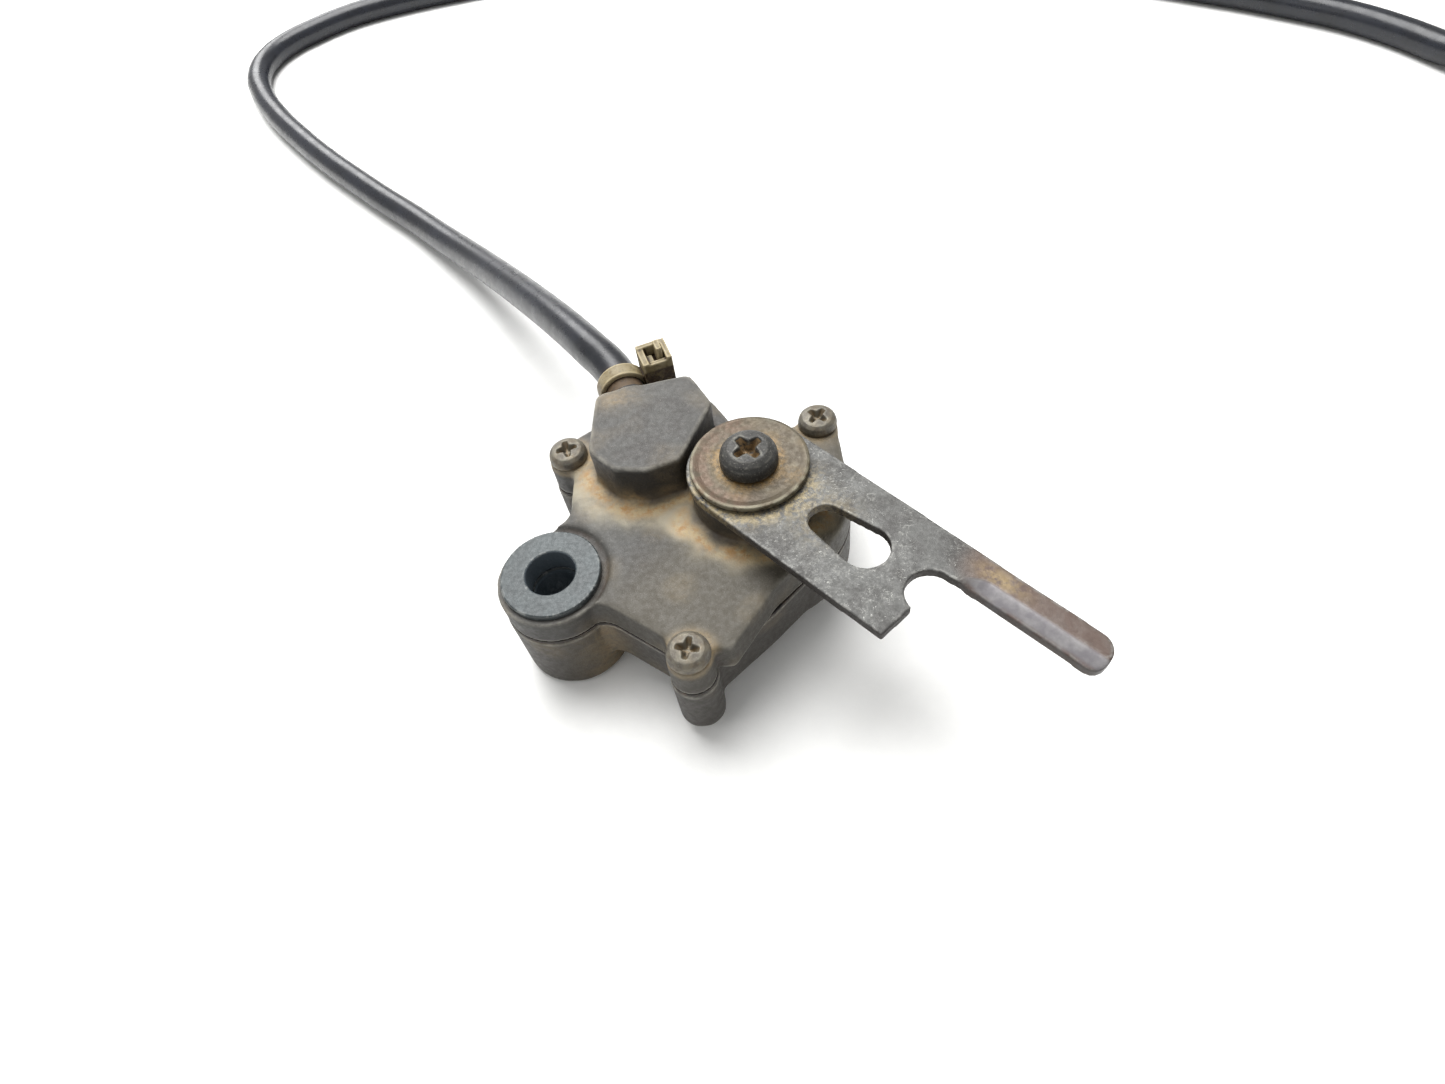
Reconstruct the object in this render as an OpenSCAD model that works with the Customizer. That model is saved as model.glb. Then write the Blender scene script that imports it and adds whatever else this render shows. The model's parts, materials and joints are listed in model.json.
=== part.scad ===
// Rotary lever limit switch: a two-part moulded case on a bolted mounting eye, a stamped
// lever on a sprung vertical shaft, and a moulded-in two-core lead with a plug.
// Frame: origin on the mounting eye's axis at its bottom face, +Z up along that axis.

/* [Mounting eye] */
// Bore of the steel collars for an M6 bolt
eye_bore_d = 7.0; // [6.4:0.1:7.4]
// Outside diameter of the collars inside the case
eye_collar_d = 9.6; // [9:0.1:10.4]
// Diameter of the flange that the bolt head clamps
eye_flange_d = 14.0; // [13:0.5:14.5]
// Height of the eye over both collars
eye_h = 18.0; // [17.9:0.1:18.6]

/* [Case] */
// Height of the seam between the two case halves
seam_z = 12.4; // [11.6:0.1:12.6]
// Height of the cover's flat top
cover_z = 17.8; // [17.6:0.1:18]
// Height of the underside of the lower case
case_z = 4.3; // [4:0.1:4.6]
// Outer radius of the case around the lever's shaft
case_r = 13.8; // [13.4:0.1:14.2]
// Radius of the contact chamber
chamber_r = 11.4; // [11.2:0.1:11.6]
// Height of the raised six-sided cable entry
tower_z = 24.7; // [24.6:0.1:26]
// Radius of the screw ears
ear_r = 3.1; // [2.9:0.1:3.2]

/* [Shaft] */
// Diameter of the shaft in its bush
shaft_d = 8.0; // [7.8:0.1:8.2]
// Radial running clearance of the shaft
running_gap = 0.04; // [0.02:0.01:0.08]
// Radius of the raised boss that holds the bush
boss_r = 8.5; // [8.2:0.1:8.6]

/* [Lever] */
// Thickness of the lever plate
lever_t = 1.5; // [1.2:0.1:1.8]
// Radius of the lever's round end
lever_r = 8.8; // [8.4:0.1:8.8]
// Reach of the finger from the shaft's axis
lever_reach = 50.5; // [49:0.5:54]
// Direction of the resting lever from +X, in degrees
lever_rest = -45; // [-50:1:-40]
// Travel of the lever from rest, in degrees
lever_travel = 75; // [60:1:75]

/* [Lead] */
// Outside diameter of the two-core lead
cord_d = 6.2; // [6:0.1:6.3]
// Height of the lead's axis where it leaves the case
cord_exit_z = 20.4; // [20.2:0.1:20.5]

/* [Hidden] */
$fn = 64;
eps = 0.01;

// Case layout, seen from above
pivot = [28.0, 11.7];
ears = [[0.4, 21.0], [37.9, 24.1], [19.4, -13.5]];
cover_web = [[24.8, -13, 1.3], [30.5, -4.3, 4]];
lower_web = [[22.8, -11.9, 0.5], [30.2, -5.0, 4]];
gasket_t = 0.4;
cover_base_z = seam_z + gasket_t / 2;
lower_top_z = seam_z - gasket_t / 2;
wall = 2.0;
floor_z = case_z + wall;
roof_z = cover_z - 1.8;
eye_r = 7.8;
flange_t = 1.0;
collar_split_z = 13.7;
seam_gap = 0.1;

// Cover screws, M3 pan heads
m3_r = 1.45;
m3_hole_r = 1.6;
m3_post_hole_r = 1.5;
m3_head_r = 2.75;
m3_head_h = 2.0;
post_z = 2.2;
post_step = 0.15;

// Shaft, bush and seal
shaft_r = shaft_d / 2;
boss_z = cover_z + 4.1;
bush_r = 5.5;
seal_r = 6.4;
seal_t = 1.4;
journal_r = 2.0;
journal_z = floor_z + 1.2;
shaft_flat = 3.2;
rotor_z = 8.6;
shaft_step_z = 8.4;

// Lever stack above the boss
lever_z = boss_z + 0.3;
lever_top_z = lever_z + lever_t;
washer_r = 8.2;
washer_t = 1.0;
washer_top_z = lever_top_z + washer_t;
m4_r = 1.95;
m4_hole_r = 2.0;
m4_head_r = 4.0;
m4_head_h = 3.1;
lever_flat = 3.0;

// Rotor, stops and contacts
disc_z = 9.2;
disc_t = 1.6;
disc_r = 9.4;
lug_r = 10.4;
hub_r = 6.0;
hub_top_z = 15.2;
lug_w = 2.4;
lug_angle = -60;
stop_gap = 16.5;
contact_r = 7.6;
contact_w = 2.0;
contact_z = floor_z + 1.1;
contact_t = 0.5;
track_spread = 76;
arm_r = 10.3;
bridge_z = contact_z + contact_t + 0.1;
lead_r = 0.65;

// Lead: axis of its exit from the tower and the route that it lies along
exit_at = [10.0, 27.9];
exit_angle = 110;
cord_r = cord_d / 2;
spout_r = 4.1;
spout_bore_r = 3.75;
spout_out = 0.5;
spout_in = 2.2;
tie_at = 4.5;
tie_w = 2.5;
rest_z = cord_r;
exit_dir = [cos(exit_angle), sin(exit_angle)];
function along(t) = [exit_at[0] + t * exit_dir[0], exit_at[1] + t * exit_dir[1], cord_exit_z];
cord_route = [
    along(-spout_in), along(spout_out), along(3.5), along(6),
    [5.6, 37.7, 20.4], [2.7, 41.7, 20], [-0.5, 46.5, 19], [-5.2, 53.6, 17.1],
    [-11.8, 63.4, 14.1], [-20.6, 75.9, 10.3], [-30, 88.3, 6.9], [-39.7, 99.9, 4.5],
    [-49, 110.3, 3.3], [-58.3, 119.4, rest_z], [-67.9, 129.1, rest_z], [-78.3, 139.9, rest_z],
    [-90, 153.2, rest_z], [-99.4, 164.9, rest_z], [-108.3, 178.3, rest_z], [-113.5, 190, rest_z],
    [-114.2, 201.2, rest_z], [-110.6, 210.5, rest_z], [-103.9, 218, rest_z], [-96.3, 224.2, rest_z],
    [-85.9, 229.1, rest_z], [-58, 236, rest_z], [-30, 240, rest_z], [0, 241, rest_z],
    [35, 236, rest_z], [70, 225, rest_z], [100, 210, rest_z], [125, 195.5, rest_z],
    [147, 180.5, rest_z], [165, 166.5, rest_z], [174.5, 157.5, rest_z], [181.5, 148, rest_z],
    [186.6, 137.9, 3.4], [191, 128.8, 4.5], [194.5, 121.5, 4.6]];
cord_sides = 10;

// Plug at the lead's far end
plug_angle = -64;
plug_at = [194.5, 121.5];
plug_l = 22;
plug_w = 11.6;
plug_h = 9.2;
plug_axis_z = plug_h / 2;
port_w = 2.4;
port_pitch = 5.0;

// ---------- shared shapes ----------

function unit(v) = v / norm(v);

// Points of the arc that rounds corner b, which has the form [x, y, radius]
function corner(a, b, c, steps = 6) =
    b[2] == 0 ? [[b[0], b[1]]] :
    let (here = [b[0], b[1]],
         u = unit([a[0], a[1]] - here),
         v = unit([c[0], c[1]] - here),
         half = acos(u * v) / 2,
         middle = here + unit(u + v) * b[2] / sin(half),
         p = here + u * b[2] / tan(half) - middle,
         q = here + v * b[2] / tan(half) - middle,
         first = atan2(p[1], p[0]),
         turn = atan2(p[0] * q[1] - p[1] * q[0], p * q))
    [for (i = [0:steps]) middle + b[2] * [cos(first + turn * i / steps), sin(first + turn * i / steps)]];

// A closed outline through [x, y, radius] vertices
function rounded(path) =
    let (n = len(path))
    [for (i = [0:n - 1]) each corner(path[(i + n - 1) % n], path[i], path[(i + 1) % n])];

// Two circles joined by their outer tangents
module link(p, q, rp, rq) {
    span = norm(q - p);
    heading = atan2(q[1] - p[1], q[0] - p[0]);
    lean = acos((rp - rq) / span);
    translate(p) circle(rp);
    translate(q) circle(rq);
    polygon([
        p + rp * [cos(heading + lean), sin(heading + lean)],
        q + rq * [cos(heading + lean), sin(heading + lean)],
        q + rq * [cos(heading - lean), sin(heading - lean)],
        p + rp * [cos(heading - lean), sin(heading - lean)]]);
}

module at_pivot(z = 0) {
    translate([pivot[0], pivot[1], z]) children();
}

module tube(z0, z1, r_out, r_in) {
    translate([0, 0, z0]) difference() {
        cylinder(h = z1 - z0, r = r_out);
        translate([0, 0, -eps]) cylinder(h = z1 - z0 + 2 * eps, r = r_in);
    }
}

// A flat sector of a ring, centred on the given angle
module arc_plate(z0, t, r_in, r_out, middle, spread) {
    translate([0, 0, z0]) rotate(middle - spread / 2)
        rotate_extrude(angle = spread) translate([r_in, 0]) square([r_out - r_in, t]);
}

// Lays children out along the lead's exit: X runs outward, Y to its left
module on_exit() {
    translate([exit_at[0], exit_at[1], cord_exit_z]) rotate(exit_angle) children();
}

// Catmull-Rom point between p1 and p2
function blend_point(p0, p1, p2, p3, s) =
    0.5 * (2 * p1 + (p2 - p0) * s + (2 * p0 - 5 * p1 + 4 * p2 - p3) * s * s
        + (3 * p1 - p0 - 3 * p2 + p3) * s * s * s);

// The route with one extra point halfway along each step
function fine_route(p) =
    let (n = len(p) - 1)
    [for (i = [0:n - 1]) each
        let (before = p[max(i - 1, 0)], after = p[min(i + 2, n)])
        [p[i], blend_point(before, p[i], p[i + 1], after, 0.5)], p[n]];

function ring_points(at, ahead, r, sides, up) =
    let (side = unit(cross(ahead, up)), top = cross(side, ahead))
    [for (k = [0:sides - 1]) let (a = 90 + 360 * k / sides) at + r * (cos(a) * side - sin(a) * top)];

// A round bar swept along a path that never runs along "up", closed by flat ends
module swept(path, r, sides, up = [0, 0, 1]) {
    n = len(path);
    points = [for (i = [0:n - 1])
        let (ahead = unit(path[min(i + 1, n - 1)] - path[max(i - 1, 0)]))
        each ring_points(path[i], ahead, r, sides, up)];
    walls = [for (i = [0:n - 2], k = [0:sides - 1]) each
        let (j = (k + 1) % sides, here = i * sides, next = here + sides)
        [[here + k, here + j, next + j], [here + k, next + j, next + k]]];
    start = [for (k = [sides - 1:-1:0]) k];
    end = [for (k = [0:sides - 1]) (n - 1) * sides + k];
    polyhedron(points = points, faces = concat(walls, [start, end]));
}

// A coil of wire about +Z
function helix(r, z0, z1, turns, per_turn, first = 0) =
    [for (i = [0:turns * per_turn]) let (a = first + 360 * i / per_turn)
        [r * cos(a), r * sin(a), z0 + (z1 - z0) * i / (turns * per_turn)]];

// Pan head with a cross recess; its underside is at z = 0
module pan_head(r, h) {
    slot_w = r * 0.34;
    difference() {
        union() {
            cylinder(h = h * 0.55, r = r);
            translate([0, 0, h * 0.55]) intersection() {
                scale_r = (r * r + pow(h * 0.45, 2)) / (2 * h * 0.45);
                translate([0, 0, h * 0.45 - scale_r]) sphere(r = scale_r);
                cylinder(h = h, r = r);
            }
        }
        for (turn = [0, 90]) rotate(turn + 20)
            translate([-r * 0.55, -slot_w / 2, h * 0.45]) cube([r * 1.1, slot_w, h]);
    }
}

// ---------- case ----------

// The web beside the front ear is narrower on the lower half than on the cover
module case_outline(web) {
    polygon(rounded(concat(
        [[1.2, 20, 0], [1.6, 9.6, 3], [-4.2, 5.6, 0], [0, 0, 0], [2.4, -6.6, 0], [7, -4.7, 4],
            [16.2, -10.9, 2], [16.6, -13.2, 0], [19.4, -13.5, 0], [22.1, -12.7, 0]],
        web,
        [[36.3, 1.4, 0], [41.5, 14.5, 0], [40.7, 24.3, 0], [37.9, 24.1, 0],
            [35.6, 25.8, 0], [33.9, 23.2, 1.5], [31.5, 25, 0], [25.2, 25.5, 0], [21.6, 31.6, 1.5],
            [4.2, 27.3, 2], [-1.3, 23.3, 0], [0.4, 21, 0]])));
    circle(eye_r);
    translate(pivot) circle(case_r);
    for (ear = ears) translate(ear) circle(ear_r);
}

module tower_outline() {
    polygon(rounded([
        [5.5, 27.0, 1.5], [19.4, 29.8, 1.5], [22.9, 23.5, 1.2], [18.5, 13.1, 1.8],
        [13.7, 11.4, 3], [9.2, 12.0, 2], [5.2, 15.8, 2]]));
}

module entry_bay() {
    polygon(rounded([
        [7.6, 24.7, 1], [18.3, 27.3, 1], [20.8, 23.2, 1], [17.2, 14.6, 1],
        [13.6, 13.3, 2], [9.9, 13.8, 1], [7.2, 16.6, 1]]));
}

// Way from the contact chamber into the entry bay for the two cores
module core_passage() {
    link([18.3, 16], [19.2, 19], 2.2, 2.2);
}

module cover_bores(r) {
    for (ear = ears) translate([ear[0], ear[1], -eps]) cylinder(h = cover_z + 1, r = r);
}

// Stop rib on the chamber wall, at an angle about the shaft
module stop_rib(angle) {
    rotate(angle) translate([9.4, -lug_w / 2, cover_base_z])
        cube([case_r - 1.2 - 9.4, lug_w, roof_z - cover_base_z + 0.5]);
}

module upper_housing() {
    color("#4b443f") difference() {
        union() {
            translate([0, 0, cover_base_z]) linear_extrude(cover_z - cover_base_z) case_outline(cover_web);
            translate([0, 0, cover_z - 1]) linear_extrude(tower_z - cover_z + 1) tower_outline();
            at_pivot(cover_z - 1) cylinder(h = boss_z - cover_z + 1, r = boss_r);
            on_exit() rotate([0, 90, 0]) translate([0, 0, -spout_in])
                cylinder(h = spout_in + spout_out, r = spout_r);
            on_exit() translate([0, -2.5, -4.8]) cube([7.4, 5, 1.6]);
        }
        difference() {
            at_pivot(cover_base_z - eps)
                cylinder(h = roof_z - cover_base_z + eps, r = chamber_r);
            at_pivot() stop_rib(lug_angle - stop_gap);
            at_pivot() stop_rib(lug_angle + lever_travel + stop_gap);
        }
        translate([0, 0, cover_base_z - eps]) {
            linear_extrude(tower_z - 1.8 - cover_base_z) entry_bay();
            linear_extrude(roof_z - cover_base_z) core_passage();
        }
        at_pivot(roof_z - eps) cylinder(h = boss_z - roof_z + 1, r = bush_r);
        at_pivot(boss_z - seal_t) cylinder(h = seal_t + 1, r = seal_r);
        on_exit() rotate([0, 90, 0]) translate([0, 0, -spout_in - 1])
            cylinder(h = spout_in + spout_out + 2, r = spout_bore_r);
        translate([0, 0, eye_h - flange_t]) cylinder(h = 2, r = eye_r + 0.4);
        translate([0, 0, cover_base_z - eps]) cylinder(h = 6, r = eye_collar_d / 2);
        cover_bores(m3_hole_r);
    }
}

module lower_housing() {
    color("#463d37") difference() {
        union() {
            translate([0, 0, case_z]) linear_extrude(lower_top_z - case_z) case_outline(lower_web);
            translate([0, 0, 0.3]) cylinder(h = lower_top_z - 0.3, r = eye_r + post_step);
            for (ear = ears) translate([ear[0], ear[1], post_z])
                cylinder(h = lower_top_z - post_z, r = ear_r + post_step);
        }
        difference() {
            union() {
                at_pivot(floor_z) cylinder(h = lower_top_z, r = chamber_r);
                translate([0, 0, floor_z]) linear_extrude(lower_top_z) {
                    entry_bay();
                    core_passage();
                }
            }
            at_pivot(floor_z - 1) cylinder(h = journal_z - floor_z + 1, r = 4);
        }
        at_pivot(case_z + 1.1) cylinder(h = 10, r = journal_r + running_gap);
        translate([0, 0, -eps]) cylinder(h = 20, r = eye_collar_d / 2);
        cover_bores(m3_post_hole_r);
    }
}

module housing_gasket() {
    color("#1b1a19") translate([0, 0, lower_top_z]) difference() {
        linear_extrude(gasket_t) case_outline(lower_web);
        translate([0, 0, -eps]) {
            at_pivot() cylinder(h = 1, r = chamber_r);
            linear_extrude(1) entry_bay();
            linear_extrude(1) core_passage();
            cylinder(h = 1, r = eye_collar_d / 2);
            cover_bores(m3_hole_r);
        }
    }
}

// Both collars carry a small chamfer where they meet inside the bore
module eye_collar_upper() {
    color("#5d676d") difference() {
        union() {
            translate([0, 0, collar_split_z + seam_gap / 2])
                cylinder(h = eye_h - collar_split_z - seam_gap / 2, r = eye_collar_d / 2);
            translate([0, 0, eye_h - flange_t]) cylinder(h = flange_t, r = eye_flange_d / 2);
        }
        cylinder(h = eye_h + 1, r = eye_bore_d / 2);
        translate([0, 0, collar_split_z])
            cylinder(h = 0.4, r1 = eye_bore_d / 2 + 0.4, r2 = eye_bore_d / 2);
    }
}

module eye_collar_lower() {
    color("#565f64") difference() {
        cylinder(h = collar_split_z - seam_gap / 2, r = eye_collar_d / 2);
        translate([0, 0, -eps]) cylinder(h = eye_h, r = eye_bore_d / 2);
        translate([0, 0, collar_split_z - 0.4])
            cylinder(h = 0.4, r1 = eye_bore_d / 2, r2 = eye_bore_d / 2 + 0.4);
    }
}

module cover_screws() {
    color("#6b635a") for (ear = ears) translate([ear[0], ear[1], 0]) {
        translate([0, 0, cover_z]) pan_head(m3_head_r, m3_head_h);
        translate([0, 0, 0.6]) cylinder(h = cover_z - 0.6 + eps, r = m3_r);
        cylinder(h = 0.6 + eps, r1 = m3_r - 0.5, r2 = m3_r);
    }
}

// ---------- bearing and inner pieces that stay with the case ----------

module shaft_bush() {
    color("#a8823f") at_pivot() tube(roof_z, boss_z - seal_t, bush_r, shaft_r + running_gap);
}

module shaft_seal() {
    color("#151515") at_pivot()
        tube(boss_z - seal_t, boss_z - 0.1, seal_r, shaft_r + running_gap);
}

module thrust_washer() {
    color("#c9c3b2") at_pivot() tube(hub_top_z + 0.1, roof_z - 0.1, 6.6, shaft_r + 0.1);
}

module contact_base() {
    color("#3a2a20") at_pivot() tube(floor_z, contact_z, 11.2, 4.2);
}

// A brass track on the base, with an arm round its outside that a core is soldered to
module fixed_contact(track_angle, tab_angle, arm_turn) {
    at_pivot() {
        arc_plate(contact_z, contact_t, contact_r - contact_w / 2, contact_r + contact_w / 2,
            track_angle, track_spread);
        arc_plate(contact_z, contact_t, contact_r, arm_r, tab_angle, 12);
        arc_plate(contact_z, contact_t, arm_r - 0.8, arm_r + 0.7, tab_angle - arm_turn / 2,
            arm_turn + 14);
    }
}

module fixed_contact_a() {
    color("#c8a24a") fixed_contact(110, 140, 0);
}

module fixed_contact_b() {
    color("#c8a24a") fixed_contact(220, 190, 24);
}

function arm_point(angle, z) = [pivot[0] + arm_r * cos(angle), pivot[1] + arm_r * sin(angle), z];

// Insulated core from a contact's arm up to the end of the lead
module lead_core(angle, low, high, shift) {
    swept(fine_route([
        arm_point(angle, contact_z + contact_t), arm_point(angle, 10.5), low, high,
        along(-spout_in - 0.2) + [shift, 0, 0]]), lead_r, 8, [1, 1, 0]);
}

module lead_a() {
    color("#7a1f1a") lead_core(140, [17.6, 19.6, 14], [15.8, 22.4, 18.8], 0.9);
}

module lead_b() {
    color("#1d1d1f") lead_core(166, [16, 16.8, 14], [13.2, 21.2, 18.8], -0.9);
}

module entry_potting() {
    color("#23211f") translate([0, 0, 18.2]) linear_extrude(tower_z - 1.8 - 18.2 - eps) entry_bay();
}

module cable_grommet() {
    color("#1a1a1a") on_exit() rotate([0, 90, 0])
        tube(-spout_in + 0.3, spout_out + 0.3, spout_bore_r, cord_r + 0.02);
}

// Loop about the lead and the tongue under it, in the plane across the lead
module tie_profile(grow) {
    half = cord_r + grow;
    circle(half);
    translate([-half, -4.85 - grow]) square([2 * half, 4.85 + grow]);
}

module cable_tie() {
    color("#c6b184") on_exit() {
        translate([tie_at - tie_w / 2, 0, 0]) rotate([90, 0, 90]) linear_extrude(tie_w) difference() {
            tie_profile(1.1);
            tie_profile(0.05);
        }
        difference() {
            translate([tie_at - 2.3, -8.2, 0.4]) cube([4.6, 4.7, 4.9]);
            translate([tie_at - 1.4, -7.3, 2.6]) cube([2.8, 2.4, 4]);
        }
        translate([tie_at - 1.2, -7.1, 2]) cube([2.4, 1.1, 4.6]);
    }
}

// Torsion spring about the rotor's hub, with one short leg at each end
module return_spring() {
    coil = helix(7.3, 11.4, 14.6, 3.25, 20, 40);
    first = coil[0] + [0.9, 0.4, 0];
    last = coil[len(coil) - 1] + [0.9, 0.6, 0];
    color("#8d8f92") at_pivot() swept(concat([first], coil, [last]), 0.4, 6);
}

// ---------- pieces that turn with the lever ----------

// A cylinder with two flats, about +Z
module flatted(z0, z1, r, half) {
    translate([0, 0, z0]) intersection() {
        cylinder(h = z1 - z0, r = r);
        translate([-r, -half, 0]) cube([2 * r, 2 * half, z1 - z0]);
    }
}

module lever_shaft() {
    color("#77797b") at_pivot() rotate(lever_rest) difference() {
        union() {
            translate([0, 0, case_z + 1.3]) cylinder(h = shaft_step_z - case_z - 1.3 + eps, r = journal_r);
            flatted(shaft_step_z, hub_top_z + 0.1, shaft_r, shaft_flat);
            translate([0, 0, hub_top_z + 0.05])
                cylinder(h = lever_z - 0.15 - hub_top_z, r = shaft_r);
            flatted(lever_z - 0.2, lever_top_z - 0.1, shaft_r, lever_flat);
        }
        translate([0, 0, 13]) cylinder(h = 12, r = m4_hole_r);
    }
}

module rotor() {
    color("#d8d2c4") at_pivot() rotate(lever_rest) difference() {
        union() {
            translate([0, 0, rotor_z]) cylinder(h = hub_top_z - rotor_z, r = hub_r);
            translate([0, 0, disc_z]) cylinder(h = disc_t, r = disc_r);
            rotate(lug_angle - lever_rest) translate([8.4, -lug_w / 2, disc_z])
                cube([lug_r - 8.4, lug_w, 5.0]);
        }
        flatted(rotor_z - 1, hub_top_z + 1, shaft_r + 0.03, shaft_flat + 0.03);
        for (side = [90, 210]) rotate(side) translate([contact_r, 0, disc_z - 1])
            cylinder(h = 2.2, r = 1.2);
    }
}

module moving_contact() {
    color("#b98d3c") at_pivot() rotate(lever_rest) {
        tube(bridge_z, bridge_z + 0.4, 6.2, 4.9);
        for (side = [90, 210]) {
            arc_plate(bridge_z, 0.4, 5.6, 8.9, side, 28);
            rotate(side) translate([contact_r, 0, bridge_z + 0.35]) sphere(r = 0.4, $fn = 24);
        }
    }
}

module contact_spring(side) {
    color("#9b9da0") at_pivot() rotate(lever_rest + side) translate([contact_r, 0, 0])
        swept(helix(0.95, bridge_z + 0.62, disc_z + 0.98, 3, 10), 0.16, 6);
}

module contact_spring_a() {
    contact_spring(90);
}

module contact_spring_b() {
    contact_spring(210);
}

module retaining_clip() {
    color("#5b5d60") at_pivot() rotate(lever_rest)
        difference() {
            tube(shaft_step_z - 0.5, shaft_step_z - 0.05, 4.5, journal_r);
            translate([0, -1.1, 0]) cube([6, 2.2, 20]);
        }
}

// Outline of the lever with the shaft's axis at the origin and the finger along +X
module lever_outline() {
    difference() {
        union() {
            circle(lever_r);
            polygon(rounded([
                [0.2, lever_r, 0], [lever_reach - 0.3, 8.1, 2.4], [lever_reach, 3.5, 1.6],
                [34.5, 3.6, 3], [30.2, 2.9, 0], [30.2, -0.2, 0], [29.9, -3.8, 0], [29.6, -8.6, 0.2],
                [-0.2, -lever_r, 0]]));
        }
        translate([30.4, -0.2]) circle(3.2);
        link([13.8, -0.1], [20.2, -0.1], 2.4, 3.3);
        intersection() {
            circle(shaft_r + 0.04);
            square([20, 2 * lever_flat + 0.08], center = true);
        }
    }
}

// Strip of the finger that is set down along its working edge
module finger_strip() {
    translate([33.5, 0]) square([lever_reach, 5.5]);
}

module lever() {
    color("#3f3d3c") at_pivot(lever_z) rotate(lever_rest) {
        linear_extrude(lever_t) difference() {
            lever_outline();
            finger_strip();
        }
        intersection() {
            translate([0, 0, -2]) linear_extrude(5) intersection() {
                lever_outline();
                finger_strip();
            }
            translate([30, 0, 0]) rotate([90, 0, 90]) linear_extrude(30)
                polygon([[5.6, 0], [5.6, lever_t], [3, lever_t - 1.3], [3, -1.3]]);
        }
    }
}

// Dished washer, its rim standing a little above the lever
module lever_washer() {
    rim = 0.35;
    color("#6f5a4c") at_pivot(lever_top_z) rotate_extrude() polygon([
        [m4_r + 0.2, 0], [4.6, 0], [washer_r - 0.1, rim], [washer_r, rim + 0.2],
        [washer_r, rim + 0.7], [washer_r - 0.2, rim + washer_t - 0.1], [4.6, washer_t],
        [m4_r + 0.2, washer_t]]);
}

module lever_screw() {
    color("#26272a") at_pivot() rotate(30) {
        translate([0, 0, washer_top_z]) pan_head(m4_head_r, m4_head_h);
        translate([0, 0, 14]) cylinder(h = washer_top_z - 14 + eps, r = m4_r);
    }
}

// ---------- lead and plug ----------

module cable() {
    color("#1c1d21") swept(fine_route(cord_route), cord_r, cord_sides);
}

// Lays children out along the plug: X runs from the lead to the mating face
module on_plug() {
    translate([plug_at[0], plug_at[1], 0]) rotate(plug_angle) children();
}

module connector_housing() {
    color("#222326") on_plug() difference() {
        union() {
            translate([0.3, -plug_w / 2, 0]) cube([plug_l - 0.3, plug_w, plug_h - 1.6]);
            translate([0.3, -plug_w / 2 + 1, plug_h - 1.7]) cube([6, plug_w - 2, 0.9]);
            translate([5, -2.2, plug_h - 0.9]) cube([14, 4.4, 0.9]);
            translate([5, -2.2, plug_h - 1.7]) cube([1.5, 4.4, 1.2]);
        }
        translate([-1, 0, plug_axis_z]) rotate([0, 90, 0]) cylinder(h = 6, r = 3.2);
        for (side = [-1, 1]) translate([4, side * port_pitch / 2 - port_w / 2, 2.6])
            cube([plug_l, port_w, port_w]);
    }
}

module connector_seal() {
    color("#7d3b22") on_plug() translate([0, 0, plug_axis_z]) rotate([0, 90, 0])
        translate([0, 0, 0.1]) cylinder(h = 4.6, r = 3.15);
}

module connector_terminals() {
    color("#b9a36a") on_plug() for (side = [-1, 1])
        translate([6, side * port_pitch / 2 - 0.9, 2.6]) difference() {
            cube([13, 1.8, 1.8]);
            translate([6, 0.3, 0.3]) cube([8, 1.2, 1.2]);
        }
}

module connector_lock() {
    color("#c9c6bd") on_plug() translate([9, -plug_w / 2 - 0.3, 1.2]) cube([4, 0.3, 4.4]);
}

upper_housing();
lower_housing();
housing_gasket();
eye_collar_upper();
eye_collar_lower();
cover_screws();
shaft_bush();
shaft_seal();
thrust_washer();
contact_base();
fixed_contact_a();
fixed_contact_b();
lead_a();
lead_b();
entry_potting();
cable_grommet();
cable_tie();
return_spring();
lever_shaft();
rotor();
moving_contact();
contact_spring_a();
contact_spring_b();
retaining_clip();
lever();
lever_washer();
lever_screw();
cable();
connector_housing();
connector_seal();
connector_terminals();
connector_lock();
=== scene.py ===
import json
import math

import bpy
import numpy as np
from mathutils import Matrix, Vector


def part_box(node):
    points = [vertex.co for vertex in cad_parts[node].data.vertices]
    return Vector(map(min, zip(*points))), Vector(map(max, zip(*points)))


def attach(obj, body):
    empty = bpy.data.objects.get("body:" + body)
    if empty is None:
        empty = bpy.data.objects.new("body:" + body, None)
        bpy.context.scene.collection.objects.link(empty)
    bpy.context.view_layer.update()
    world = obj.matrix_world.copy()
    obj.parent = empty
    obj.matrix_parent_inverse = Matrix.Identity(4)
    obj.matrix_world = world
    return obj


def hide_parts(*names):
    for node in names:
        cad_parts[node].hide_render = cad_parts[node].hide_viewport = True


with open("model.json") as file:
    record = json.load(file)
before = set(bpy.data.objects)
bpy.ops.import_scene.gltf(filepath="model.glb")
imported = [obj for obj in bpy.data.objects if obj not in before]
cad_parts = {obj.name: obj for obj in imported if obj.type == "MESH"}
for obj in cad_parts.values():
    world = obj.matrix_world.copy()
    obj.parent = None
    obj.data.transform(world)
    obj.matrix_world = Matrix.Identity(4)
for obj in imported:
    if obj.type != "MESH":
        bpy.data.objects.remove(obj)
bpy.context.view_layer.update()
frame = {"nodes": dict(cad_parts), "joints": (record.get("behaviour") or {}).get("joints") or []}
nodes = frame["nodes"]
MM = 0.001

# ---------- places and sizes in millimetres, as the CAD has them ----------

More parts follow.
